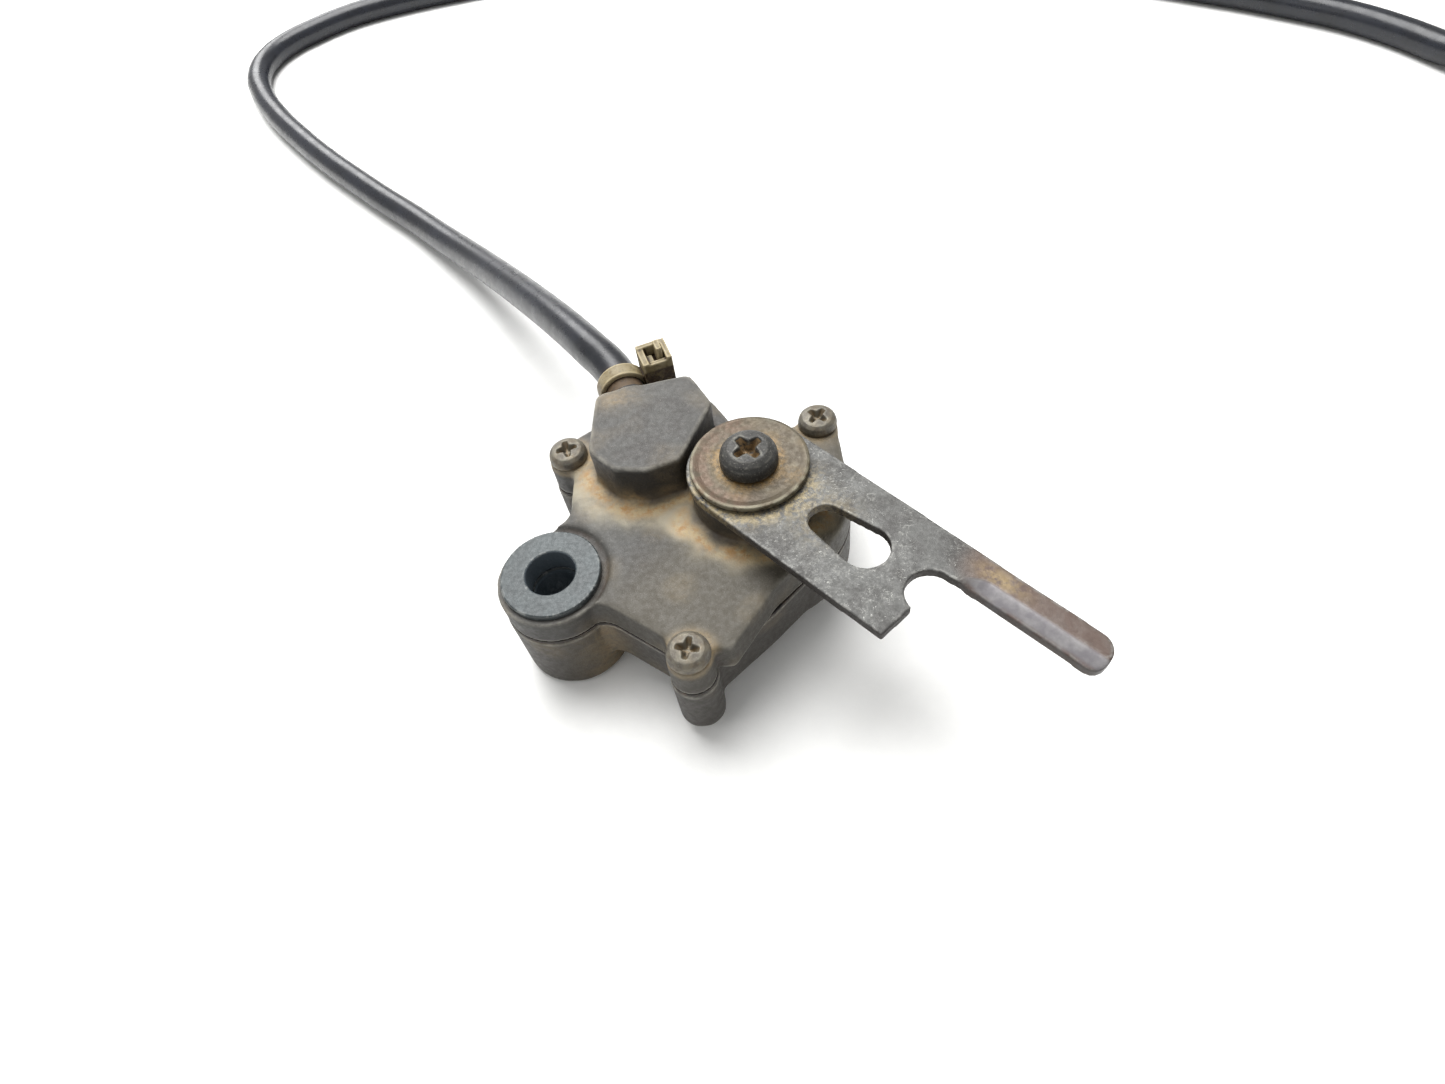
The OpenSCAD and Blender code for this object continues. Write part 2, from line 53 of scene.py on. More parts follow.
# The lever's shaft, and the plates stacked on it
PIVOT = Vector(frame["joints"][0]["pos_m"]) / MM
LEVER_REST = math.radians(-45)
LEVER_THICK = 1.5
LEVER_R = 8.8
SHAFT_R = 4.04
SHAFT_HALF_FLAT = 3.04
WASHER_R = 8.2
LEVER_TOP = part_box("lever_washer")[0].z / MM
LEVER_LOW = LEVER_TOP - LEVER_THICK
WASHER_TOP = LEVER_TOP + 1.0

# The case: heights of its seam and cover, its screw ears, its boss and the cable entry's tower
SEAM = 12.4
COVER_TOP = 17.8
EARS = [(0.4, 21.0), (37.9, 24.1), (19.4, -13.5)]
BOSS_R = 8.5
TOWER = [
    (5.5, 27.0), (19.4, 29.8), (22.9, 23.5), (18.5, 13.1), (13.7, 11.4), (9.2, 12.0), (5.2, 15.8)]

# The mounting eye's steel collars, whose axis is the origin
EYE_TOP = 18
BORE_R = 3.5
COLLAR_R = 4.8
FLANGE_R = 7.0

# The cord, and the tie that holds it
CORD_R = 3.1
EXIT = Vector((10.0, 27.9, 20.4))
EXIT_TURN = math.radians(110)
EXIT_WAY = Vector((math.cos(EXIT_TURN), math.sin(EXIT_TURN), 0))
TIE_AT = 4.5
PLUG_AT = Vector((194.5, 121.5, 0))
PLUG_TURN = math.radians(-64)


def along(distance):
    """Point on the cord's exit axis, that far outside the cable entry's wall."""
    return tuple(EXIT + EXIT_WAY * distance)


CORD_ROUTE = [
    along(-2.2), along(0.5), along(3.5), along(6),
    (5.6, 37.7, 20.4), (2.7, 41.7, 20), (-0.5, 46.5, 19), (-5.2, 53.6, 17.1),
    (-11.8, 63.4, 14.1), (-20.6, 75.9, 10.3), (-30, 88.3, 6.9), (-39.7, 99.9, 4.5),
    (-49, 110.3, 3.3), (-58.3, 119.4, CORD_R), (-67.9, 129.1, CORD_R), (-78.3, 139.9, CORD_R),
    (-90, 153.2, CORD_R), (-99.4, 164.9, CORD_R), (-108.3, 178.3, CORD_R), (-113.5, 190, CORD_R),
    (-114.2, 201.2, CORD_R), (-110.6, 210.5, CORD_R), (-103.9, 218, CORD_R), (-96.3, 224.2, CORD_R),
    (-85.9, 229.1, CORD_R), (-58, 236, CORD_R), (-30, 240, CORD_R), (0, 241, CORD_R),
    (35, 236, CORD_R), (70, 225, CORD_R), (100, 210, CORD_R), (125, 195.5, CORD_R),
    (147, 180.5, CORD_R), (165, 166.5, CORD_R), (174.5, 157.5, CORD_R), (181.5, 148, CORD_R),
    (186.6, 137.9, 3.4), (191, 128.8, 4.5), (PLUG_AT.x, PLUG_AT.y, 4.6)]

# ---------- camera, floor and light ----------


def add(name, data):
    made = bpy.data.objects.new(name, data)
    bpy.context.scene.collection.objects.link(made)
    return made


CAMERA_AXES = Matrix((
    (0.99452, 0.06053, 0.08530),
    (0.0, 0.81554, -0.57871),
    (-0.10459, 0.57553, 0.81106)))
CAMERA_AT = Vector((33.56, -63.73, 112.06))


def make_camera():
    """A wide lens close above the switch, on the mounting eye's side."""
    lens = bpy.data.cameras.new("camera")
    lens.lens = 21.18
    lens.sensor_width = 36
    lens.clip_start = 0.005
    camera = add("camera", lens)
    camera.matrix_world = Matrix.Translation(CAMERA_AT * MM) @ CAMERA_AXES.to_4x4()
    bpy.context.scene.camera = camera


def area_light(name, place, aim, size, power):
    """A round soft light, in metres and watts, that the camera doesn't see."""
    data = bpy.data.lights.new(name, "AREA")
    data.shape = "DISK"
    data.size = size
    data.energy = power
    light = add(name, data)
    light.location = place
    light.rotation_euler = (Vector(aim) - Vector(place)).to_track_quat("-Z", "Y").to_euler()
    light.visible_camera = False


def make_studio():
    """A large key light above and behind, a weak fill, and a low light for the cord's sheen."""
    area_light("key", (-0.06, 0.30, 0.60), (0.02, 0.02, 0), 0.60, 7.3)
    area_light("fill", (-0.55, -0.35, 0.60), (0.02, 0.02, 0), 0.50, 0.65)
    area_light("back", (-0.42, 0.95, 0.50), (0, 0.05, 0), 0.50, 3.4)
    world = bpy.data.worlds.new("studio")
    world.use_nodes = True
    sky = world.node_tree.nodes["Background"]
    sky.inputs["Color"].default_value = (1, 1, 1, 1)
    sky.inputs["Strength"].default_value = 0.52
    bpy.context.scene.world = world
    bpy.context.scene.view_settings.view_transform = "Standard"


# ---------- mesh tools ----------


def with_modifier(mesh, kind, **settings):
    """A new mesh: this one with one modifier applied."""
    holder = add("holder", mesh)
    modifier = holder.modifiers.new("step", kind)
    for key, value in settings.items():
        setattr(modifier, key, value)
    graph = bpy.context.evaluated_depsgraph_get()
    made = bpy.data.meshes.new_from_object(holder.evaluated_get(graph))
    bpy.data.objects.remove(holder)
    return made


def read_points(mesh):
    """The mesh's vertices in millimetres."""
    flat = np.empty(len(mesh.vertices) * 3)
    mesh.vertices.foreach_get("co", flat)
    return flat.reshape(-1, 3) / MM


def write_points(mesh, points):
    mesh.vertices.foreach_set("co", (points * MM).ravel())
    mesh.update()


def edge_ends(mesh):
    flat = np.empty(len(mesh.edges) * 2, np.int64)
    mesh.edges.foreach_get("vertices", flat)
    return flat.reshape(-1, 2).T


def neighbour_mean(values, ends):
    """Each vertex's mean of its neighbours' values, which may have several columns."""
    first, second = ends
    count = len(values)
    degree = np.bincount(np.concatenate(ends), minlength=count)
    columns = values.reshape(count, -1)
    total = np.stack([
        np.bincount(first, column[second], count) + np.bincount(second, column[first], count)
        for column in columns.T], axis=1)
    return (total / np.maximum(degree, 1)[:, None]).reshape(values.shape)


def relax(mesh, rounds, strength):
    """Rounds corners: in each round every vertex moves towards its neighbours' mean."""
    points = read_points(mesh)
    ends = edge_ends(mesh)
    for _ in range(rounds):
        points += 0.6 * strength[:, None] * (neighbour_mean(points, ends) - points)
    write_points(mesh, points)


def paint(mesh, name, values):
    """Stores one number for each vertex, for a material to read."""
    layer = mesh.attributes.get(name) or mesh.attributes.new(name, "FLOAT", "POINT")
    layer.data.foreach_set("value", np.asarray(values, np.float32))


def step_up(values, low, high):
    """0 below low, 1 above high, smooth between."""
    t = np.clip((values - low) / (high - low), 0, 1)
    return t * t * (3 - 2 * t)


def near(values, middle, width):
    """1 at the middle, falling smoothly to almost 0 at twice the width from it."""
    return np.exp(-((values - middle) / width) ** 2)


def gap_from(points, x=0.0, y=0.0):
    """Distance in plan from each point to an upright axis."""
    return np.hypot(points[:, 0] - x, points[:, 1] - y)


def survey(mesh, spacing):
    """Paints where an even mesh is convex (worn edges), hollow (grime) and upright (later darkened
    as painted shade).
    """
    points = read_points(mesh)
    normals = np.empty(len(points) * 3)
    mesh.vertices.foreach_get("normal", normals)
    normals = normals.reshape(-1, 3)
    ends = edge_ends(mesh)
    rise = ((points - neighbour_mean(points, ends)) * normals).sum(1)
    bend = rise * 4 / spacing ** 2
    for _ in range(4):
        bend = (bend + neighbour_mean(bend, ends)) / 2
    paint(mesh, "wear_and_highlight", step_up(bend, 0.35, 1.1))
    for _ in range(8):
        bend = (bend + neighbour_mean(bend, ends)) / 2
    paint(mesh, "grime", step_up(-bend, 0.08, 0.6))
    # Upright faces, which the materials darken as painted shade
    paint(mesh, "wall", step_up(-np.abs(normals[:, 2]), -0.8, -0.3))


def soften(mesh, spacing, rounds, weight=None):
    """Rebuilds a closed mesh on an even grid, with the corners rounded as a mould leaves them."""
    made = with_modifier(mesh, "REMESH", mode="VOXEL", voxel_size=spacing * MM)
    points = read_points(made)
    strength = np.ones(len(points)) if weight is None else weight(points)
    relax(made, rounds, strength)
    survey(made, spacing)
    smooth(made)
    return made


def smooth(mesh):
    mesh.polygons.foreach_set("use_smooth", np.ones(len(mesh.polygons), bool))
    mesh.update()


def wobble(points, size):
    """A smooth field between -1 and 1 whose swells are about size millimetres apart."""
    p = points * 2 * math.pi / size
    waves = (1.0, 0.4, 0.7), (-0.5, 0.9, 0.6), (0.7, -0.6, 0.5), (0.3, 0.8, -0.9)
    return sum(np.sin(p @ np.array(w) + 1.7 * i) for i, w in enumerate(waves)) / len(waves)


def rounded(path, steps=6):
    """A closed outline through (x, y, radius) corners."""
    made = []
    for i, (x, y, r) in enumerate(path):
        here = Vector((x, y))
        if r == 0:
            made.append(here)
            continue
        u = (Vector(path[i - 1][:2]) - here).normalized()
        v = (Vector(path[(i + 1) % len(path)][:2]) - here).normalized()
        half = u.angle(v) / 2
        middle = here + (u + v).normalized() * r / math.sin(half)
        p = here + u * r / math.tan(half) - middle
        q = here + v * r / math.tan(half) - middle
        turn = math.atan2(p.x * q.y - p.y * q.x, p.dot(q))
        made += [middle + p @ Matrix.Rotation(-turn * k / steps, 2) for k in range(steps + 1)]
    return made


def arc(centre, r, start, stop, steps=24):
    """Points on a circle from start to stop, in degrees."""
    angles = [math.radians(start + (stop - start) * k / steps) for k in range(steps + 1)]
    return [Vector((centre[0] + r * math.cos(a), centre[1] + r * math.sin(a))) for a in angles]


def dense(profile, step=0.25):
    """The same line with a point at least every step millimetres."""
    made = []
    for a, b in zip(profile, profile[1:]):
        parts = max(1, math.ceil((Vector(b) - Vector(a)).length / step))
        made += [Vector(a).lerp(Vector(b), k / parts) for k in range(parts)]
    return made + [Vector(profile[-1])]


def lathe(name, profile, turns=112):
    """Turns a line of (radius, height) about Z.

    It closes on itself, or starts and ends at radius 0."""
    closed = profile[0][0] > 0
    verts, rings = [], []
    for r, z in profile:
        count = turns if r > 0 else 1
        rings.append(range(len(verts), len(verts) + count))
        for k in range(count):
            a = 2 * math.pi * k / turns
            verts.append((r * math.cos(a) * MM, r * math.sin(a) * MM, z * MM))
    pairs = list(zip(rings, rings[1:])) + ([(rings[-1], rings[0])] if closed else [])
    faces = []
    for low, high in pairs:
        for k in range(turns):
            j = (k + 1) % turns
            loop = [low[k % len(low)], low[j % len(low)], high[j % len(high)], high[k % len(high)]]
            faces.append(list(dict.fromkeys(loop)))
    mesh = bpy.data.meshes.new(name)
    mesh.from_pydata(verts, [], faces)
    mesh.update()
    smooth(mesh)
    return mesh


def prism(name, low_loop, high_loop, low, high):
    """A closed solid between two loops with the same number of points."""
    count = len(low_loop)
    verts = [(p[0] * MM, p[1] * MM, low * MM) for p in low_loop]
    verts += [(p[0] * MM, p[1] * MM, high * MM) for p in high_loop]
    faces = [list(range(count))[::-1], list(range(count, 2 * count))]
    faces += [[k, (k + 1) % count, (k + 1) % count + count, k + count] for k in range(count)]
    mesh = bpy.data.meshes.new(name)
    mesh.from_pydata(verts, [], faces)
    mesh.update()
    return mesh


def block(low, high):
    """A box between two corners, for joining into a larger form."""
    (x0, y0, z0), (x1, y1, z1) = low, high
    loop = [(x0, y0), (x1, y0), (x1, y1), (x0, y1)]
    return prism("block", loop, loop, z0, z1)


def plate(name, loops, low, high):
    """A flat plate: the first loop is its outline and the others are holes."""
    curve = bpy.data.curves.new(name, "CURVE")
    curve.dimensions = "2D"
    curve.fill_mode = "BOTH"
    curve.extrude = (high - low) / 2 * MM
    for loop in loops:
        spline = curve.splines.new("POLY")
        spline.points.add(len(loop) - 1)
        spline.use_cyclic_u = True
        for point, at in zip(spline.points, loop):
            point.co = (at[0] * MM, at[1] * MM, 0, 1)
    holder = add("holder", curve)
    graph = bpy.context.evaluated_depsgraph_get()
    mesh = bpy.data.meshes.new_from_object(holder.evaluated_get(graph))
    bpy.data.objects.remove(holder)
    mesh.transform(Matrix.Translation((0, 0, (high + low) / 2 * MM)))
    return mesh


def merged(name, meshes):
    """One mesh that holds all of these shells."""
    verts, faces = [], []
    for mesh in meshes:
        faces += [[v + len(verts) for v in p.vertices] for p in mesh.polygons]
        verts += [tuple(v.co) for v in mesh.vertices]
    made = bpy.data.meshes.new(name)
    made.from_pydata(verts, [], faces)
    made.update()
    return made


def turned(place, angle):
    """Turns about Z, then moves to a place in millimetres."""
    return Matrix.Translation(place * MM) @ Matrix.Rotation(angle, 4, "Z")


def piece(name, mesh, body, slot, finish, *stands_for):
    """Puts a finished mesh in the scene on its body."""
    made = add(name, mesh)
    mesh.materials.clear()
    mesh.materials.append(finish)
    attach(made, body)
    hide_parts(*stands_for)
    return made


# ---------- material tools ----------


def tone(code):
    """Linear colour from an sRGB code."""
    parts = [int(code[i:i + 2], 16) / 255 for i in (0, 2, 4)]
    return [((c + 0.055) / 1.055) ** 2.4 for c in parts] + [1.0]


class Finish:
    """One procedural material, built socket by socket. Sizes are in millimetres."""

    def __init__(self, name, metallic=0.0, coat=0.0, specular=0.5):
        self.material = bpy.data.materials.new(name)
        self.material.use_nodes = True
        self.tree = self.material.node_tree
        self.shader = self.tree.nodes["Principled BSDF"]
        self.shader.inputs["Metallic"].default_value = metallic
        self.shader.inputs["Coat Weight"].default_value = coat
        self.shader.inputs["Specular IOR Level"].default_value = specular
        self.place = self.node("ShaderNodeTexCoord").outputs["Object"]

    def put(self, socket, value):
        if isinstance(value, bpy.types.NodeSocket):
            self.tree.links.new(value, socket)
        else:
            socket.default_value = value

    def node(self, kind, values=(), **settings):
        made = self.tree.nodes.new(kind)
        for key, value in settings.items():
            setattr(made, key, value)
        for key, value in dict(values).items():
            self.put(made.inputs[key], value)
        return made

    def noise(self, size, detail=3.0, rough=0.55, warp=0.0, stretch=(1, 1, 1)):
        """Grey noise with blotches of about that size."""
        place = self.node("ShaderNodeMapping", {"Vector": self.place, "Scale": stretch})
        made = self.node("ShaderNodeTexNoise", {
            "Vector": place.outputs[0], "Scale": 1 / (size * MM), "Detail": detail,
            "Roughness": rough, "Distortion": warp})
        return made.outputs["Fac"]

    def level(self, value, low, high, bottom=0.0, top=1.0):
        """bottom where value is at low, top where it is at high, and smooth between."""
        made = self.node("ShaderNodeMapRange", {
            "Value": value, "From Min": low, "From Max": high, "To Min": bottom, "To Max": top},
            interpolation_type="SMOOTHSTEP")
        return made.outputs["Result"]

    def times(self, first, second):
        made = self.node("ShaderNodeMath", {0: first, 1: second}, operation="MULTIPLY")
        return made.outputs[0]

    def plus(self, first, second):
        made = self.node("ShaderNodeMath", {0: first, 1: second}, operation="ADD", use_clamp=True)
        return made.outputs[0]

    def mark(self, name):
        """A number painted on the mesh."""
        return self.node("ShaderNodeAttribute", attribute_name=name).outputs["Fac"]

    def blend(self, share, first, second):
        """Mix of two plain numbers."""
        made = self.node("ShaderNodeMix", {0: share, 2: first, 3: second}, data_type="FLOAT")
        return made.outputs[0]

    def mix(self, share, first, second):
        """Mix of two colours."""
        made = self.node("ShaderNodeMix", {0: share, 6: first, 7: second}, data_type="RGBA")
        return made.outputs[2]

    def done(self, colour, roughness, relief, depth):
        """Joins the last sockets to the shader; depth is the relief's height."""
        self.put(self.shader.inputs["Base Color"], colour)
        self.put(self.shader.inputs["Roughness"], roughness)
        bump = self.node("ShaderNodeBump", {"Height": relief, "Distance": depth * MM})
        self.put(self.shader.inputs["Normal"], bump.outputs["Normal"])
        return self.material


# ---------- materials ----------


def case_finish(name, base, shade, wall_share, dust_share):
    """Weathered moulded plastic: walls darkened as painted shade, worn edges, grimy corners, and
    painted dirt.
    """
    f = Finish(name, specular=0.4)
    colour = f.mix(f.level(f.noise(6, 4, warp=0.8), 0.38, 0.64), tone(base), tone(shade))
    colour = f.mix(f.times(f.mark("warm"), 0.7), colour, tone("4b4538"))
    colour = f.mix(f.level(f.noise(1.1, 5, 0.65), 0.50, 0.80, 0, 0.22), colour, tone("77726c"))
    specks = f.level(f.noise(0.22, 3, 0.7), 0.60, 0.74, 0, 0.45)
    colour = f.mix(specks, colour, tone("8b877f"))
    pits = f.level(f.noise(0.35, 3, 0.7), 0.34, 0.26, 0, 0.35)
    colour = f.mix(pits, colour, tone("25221f"))
    # Upright faces darkened: painted shade
    colour = f.mix(f.times(f.mark("wall"), wall_share), colour, tone("211f1d"))
    worn = f.times(f.mark("wear_and_highlight"), f.level(f.noise(1.6, 5, 0.7), 0.36, 0.66, 0.25, 0.8))
    colour = f.mix(worn, colour, tone("8a877f"))
    grime = f.times(f.mark("grime"), f.level(f.noise(1.3, 4), 0.3, 0.6, 0.25, 0.8))
    colour = f.mix(grime, colour, tone("332a23"))
    veil = f.times(f.mark("veil"), f.level(f.noise(4.5, 4, 0.55), 0.30, 0.60, 0.3))
    colour = f.mix(f.times(veil, 0.85), colour, tone("9a9380"))
    film = f.times(f.mark("dust_and_shade"), f.level(f.noise(3.2, 4, 0.55, 0.6), 0.30, 0.56, 0.3, dust_share))
    dust_and_shade = f.times(film, f.level(f.noise(0.5, 5, 0.75, 0.4), 0.30, 0.56, 0.45, 1))
    colour = f.mix(dust_and_shade, colour, tone("a8946f"))
    deepest = f.times(film, f.mark("dust_and_shade"))
    deep = f.times(deepest, f.level(f.noise(1.5, 5, 0.7), 0.42, 0.60, 0, 0.85))
    colour = f.mix(deep, colour, tone("956e3c"))
    rough = f.level(f.noise(0.8, 4), 0.3, 0.7, 0.50, 0.66)
    relief = f.plus(f.times(f.noise(0.16, 2), 0.35), f.times(f.noise(0.9, 5, 0.7), 0.65))
    return f.done(colour, rough, relief, 0.09)


def collar_finish(name):
    """Blue-grey coated steel with pale chipped edges."""
    f = Finish(name, metallic=0.25)
    colour = f.mix(f.level(f.noise(3, 4), 0.35, 0.65), tone("393f40"), tone("323738"))
    colour = f.mix(f.level(f.noise(0.28, 3, 0.7), 0.62, 0.76, 0, 0.4), colour, tone("565c5c"))
    colour = f.mix(f.level(f.noise(0.5, 3), 0.34, 0.26, 0, 0.6), colour, tone("2b3032"))
    colour = f.mix(f.mark("bore"), colour, tone("5c656c"))
    chips = f.times(f.mark("wear_and_highlight"), f.level(f.noise(1.3, 5, 0.7), 0.50, 0.62, 0, 0.85))
    colour = f.mix(chips, colour, tone("787a78"))
    rough = f.level(f.noise(0.6, 4), 0.3, 0.7, 0.36, 0.52)
    return f.done(colour, rough, f.noise(0.5, 5, 0.65), 0.03)


def lever_finish():
    """Dark sheet steel: pale salt-like flecks, a heat-brown finger, a band polished glossy by use
    whose pale colour is a painted reflection of the light, and side faces darkened as painted shade.
    """
    f = Finish("lever_steel", metallic=0.45)
    colour = f.mix(f.level(f.noise(4, 5, warp=0.5), 0.35, 0.65), tone("595957"), tone("444341"))
    bare = f.level(f.mark("finger"), 0.0, 0.8, 1.0, 0.0)
    field = f.times(bare, f.level(f.noise(3.6, 4, 0.6, 0.6), 0.40, 0.60, 0.10, 1.0))
    colour = f.mix(f.times(field, f.level(f.noise(0.7, 6, 0.8, 1.0), 0.50, 0.64, 0, 0.55)),
                   colour, tone("83837e"))
    along_it = f.noise(0.26, 4, 0.72, 0.4, (0.4, 1, 1))
    across_it = f.noise(0.26, 4, 0.72, 0.4, (1, 0.35, 1))
    colour = f.mix(f.times(field, f.level(along_it, 0.61, 0.69, 0, 0.85)), colour, tone("b2b2ac"))
    colour = f.mix(f.times(field, f.level(across_it, 0.63, 0.71, 0, 0.85)), colour, tone("b9b9b3"))
    colour = f.mix(f.times(bare, f.level(f.noise(0.5, 4, 0.7), 0.38, 0.30, 0, 0.75)),
                   colour, tone("2a2929"))
    brown = f.mix(f.level(f.noise(3, 4, warp=0.7), 0.38, 0.62), tone("574942"), tone("5e534d"))
    patch = f.times(f.mark("patch"), f.level(f.noise(1.2, 5, 0.7), 0.34, 0.56))
    brown = f.mix(patch, brown, tone("806f52"))
    colour = f.mix(f.mark("finger"), colour, brown)
    # The band's pale grey is a painted reflection of the light on its face; its brown lower edge is
    # dirt
    band = f.mix(f.level(f.noise(2.0, 4), 0.35, 0.65), tone("777477"), tone("8f8d8d"))
    band = f.mix(f.times(f.mark("lower"), f.level(f.noise(2.5, 4), 0.3, 0.6)), band, tone("66534a"))
    colour = f.mix(f.mark("band"), colour, band)
    colour = f.mix(f.times(f.mark("wear_and_highlight"), f.level(f.noise(0.8, 4), 0.42, 0.62, 0, 0.6)),
                   colour, tone("888783"))
    # Side faces darkened: painted shade
    colour = f.mix(f.times(f.mark("wall"), 0.8), colour, tone("2a2522"))
    dust_and_shade = f.times(f.mark("dust_and_shade"), f.level(f.noise(0.8, 6, 0.7, 0.5), 0.38, 0.60))
    colour = f.mix(dust_and_shade, colour, tone("8d8062"))
    rough = f.blend(f.mark("band"), f.level(f.noise(0.5, 4), 0.3, 0.7, 0.46, 0.64), 0.30)
    relief = f.plus(f.times(f.noise(0.25, 4, 0.7), 0.6), f.times(f.noise(1.2, 4), 0.4))
    return f.done(colour, rough, f.times(relief, f.level(f.mark("band"), 0, 1, 1, 0.3)), 0.05)


def washer_finish():
    """Steel washer under a brown film, with tan dirt round the head and a pale rim: worn all round,
    with a painted highlight on its front side.
    """
    f = Finish("washer_steel", metallic=0.40)
    colour = f.mix(f.level(f.noise(3.5, 4, warp=0.6), 0.36, 0.64), tone("4a4130"), tone("3f3628"))
    colour = f.mix(f.level(f.noise(2.2, 4), 0.55, 0.70, 0, 0.5), colour, tone("5b5649"))
    colour = f.mix(f.level(f.noise(0.3, 4, 0.7), 0.60, 0.74, 0, 0.35), colour, tone("6d6858"))
    ring = f.times(f.mark("ring"), f.level(f.noise(1.8, 4, warp=0.5), 0.30, 0.60))
    colour = f.mix(ring, colour, tone("503f30"))
    dirt_and_shade = f.times(f.mark("dust_and_shade"), f.level(f.noise(0.7, 6, 0.7, 0.6), 0.34, 0.58))
    colour = f.mix(f.times(dirt_and_shade, 0.85), colour, tone("745c34"))
    colour = f.mix(f.times(f.mark("wear_and_highlight"), f.level(f.noise(1.2, 4), 0.38, 0.58, 0.1, 0.8)),
                   colour, tone("7c7866"))
    rough = f.level(f.noise(0.6, 4), 0.3, 0.7, 0.36, 0.56)
    return f.done(colour, rough, f.noise(0.4, 5, 0.65), 0.035)


def screw_finish(name, base, pale, dirt_and_shade, dirt_share, metallic):
    """A weathered screw head whose recess holds dirt."""
    f = Finish(name, metallic=metallic)
    colour = f.mix(f.level(f.noise(1.2, 4), 0.38, 0.62), tone(base), tone(pale))
    colour = f.mix(f.level(f.noise(0.25, 4, 0.7), 0.56, 0.68, 0, 0.55), colour, tone("807d75"))
    colour = f.mix(f.times(f.mark("wear_and_highlight"), f.level(f.noise(0.8, 4), 0.44, 0.64, 0, 0.5)),
                   colour, tone("7a786f"))
    held = f.times(f.plus(f.mark("grime"), f.mark("dust_and_shade")),
                   f.level(f.noise(0.5, 5, 0.7), 0.34, 0.56, 0, dirt_share))
    colour = f.mix(held, colour, tone(dirt_and_shade))
    rough = f.level(f.noise(0.4, 4), 0.3, 0.7, 0.40, 0.62)
    return f.done(colour, rough, f.noise(0.3, 5, 0.7), 0.05)


def tie_finish():
    """Old nylon gone yellow, with brown dirt in its corners and lower side, and a dark patch on the
    head that is painted shade.
    """
    f = Finish("tie_nylon", specular=0.4)
    f.shader.inputs["Subsurface Weight"].default_value = 0.15
    f.shader.inputs["Subsurface Radius"].default_value = (0.0012, 0.0009, 0.0005)
    colour = f.mix(f.level(f.noise(1.8, 4), 0.35, 0.65), tone("887d62"), tone("6c5f40"))
    colour = f.mix(f.level(f.noise(0.5, 5, 0.7), 0.52, 0.66, 0, 0.6), colour, tone("574a33"))
    colour = f.mix(f.times(f.mark("wear_and_highlight"), 0.6), colour, tone("b3a685"))
    # Brown dirt on the lower side, and the dark patch on the head's face that is painted shade
    dirt_and_shade = f.times(f.mark("dust_and_shade"), f.level(f.noise(1.2, 5, 0.7, 0.6), 0.30, 0.52, 0.35, 1.0))
    colour = f.mix(dirt_and_shade, colour, tone("3e3023"))
    colour = f.mix(f.mark("grime"), colour, tone("3a2c1c"))
    rough = f.level(f.noise(0.6, 3), 0.3, 0.7, 0.45, 0.62)
    return f.done(colour, rough, f.noise(0.5, 4, 0.65), 0.05)


def cord_finish():
    """Blue-black sheath with a soft gloss and fine dust, and brown dirt beside the case."""
    f = Finish("cable_jacket", specular=0.5)
    colour = f.mix(f.level(f.noise(9, 4, warp=0.4), 0.36, 0.64), tone("181b23"), tone("12141a"))
    colour = f.mix(f.level(f.noise(1.2, 5, 0.7), 0.54, 0.74, 0, 0.3), colour, tone("302f2f"))
    colour = f.mix(f.level(f.noise(0.3, 4, 0.7), 0.64, 0.74, 0, 0.3), colour, tone("403d39"))
    exit_gap = f.node("ShaderNodeVectorMath", {0: f.place, 1: EXIT * MM}, operation="DISTANCE")
    near_exit = f.level(exit_gap.outputs["Value"], 8.5 * MM, 3.5 * MM)
    dirt_and_shade = f.times(near_exit, f.level(f.noise(1.3, 5, 0.7), 0.28, 0.54, 0.35, 1.0))
    colour = f.mix(dirt_and_shade, colour, tone("54432f"))
    rough = f.blend(near_exit, f.level(f.noise(2.5, 5, 0.65), 0.3, 0.7, 0.25, 0.36), 0.7)
    relief = f.plus(f.times(f.noise(3.0, 3), 0.7), f.times(f.noise(0.4, 3), 0.3))
    return f.done(colour, rough, relief, 0.05)


def plain_finish(name, base, shade, rough, metallic=0.0, grain=0.4, depth=0.03, dirt_and_shade=None):
    """A clean inner material: two-tone mottling, fine grain and an uneven gloss."""
    f = Finish(name, metallic=metallic)
    colour = f.mix(f.level(f.noise(grain * 6, 4), 0.35, 0.65), tone(base), tone(shade))
    if dirt_and_shade:
        colour = f.mix(f.level(f.noise(grain * 3, 5, 0.7), 0.50, 0.66, 0, 0.7), colour, tone(dirt_and_shade))
    uneven = f.level(f.noise(grain * 2, 4), 0.3, 0.7, rough - 0.08, rough + 0.08)
    return f.done(colour, uneven, f.noise(grain, 5, 0.65), depth)


# ---------- pieces that stay with the case ----------


def make_cord(finish):
    """The cord as a round curve along its route."""
    curve = bpy.data.curves.new("cable_jacket", "CURVE")
    curve.dimensions = "3D"
    curve.bevel_depth = CORD_R * MM
    curve.bevel_resolution = 7
    curve.resolution_u = 10
    curve.use_fill_caps = True
    spline = curve.splines.new("BEZIER")
    spline.bezier_points.add(len(CORD_ROUTE) - 1)
    for point, at in zip(spline.bezier_points, CORD_ROUTE):
        point.co = Vector(at) * MM
        point.handle_left_type = "AUTO"
        point.handle_right_type = "AUTO"
    curve.materials.append(finish)
    cord = add("cable_jacket", curve)
    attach(cord, "case")
    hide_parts("cable")
    return cord


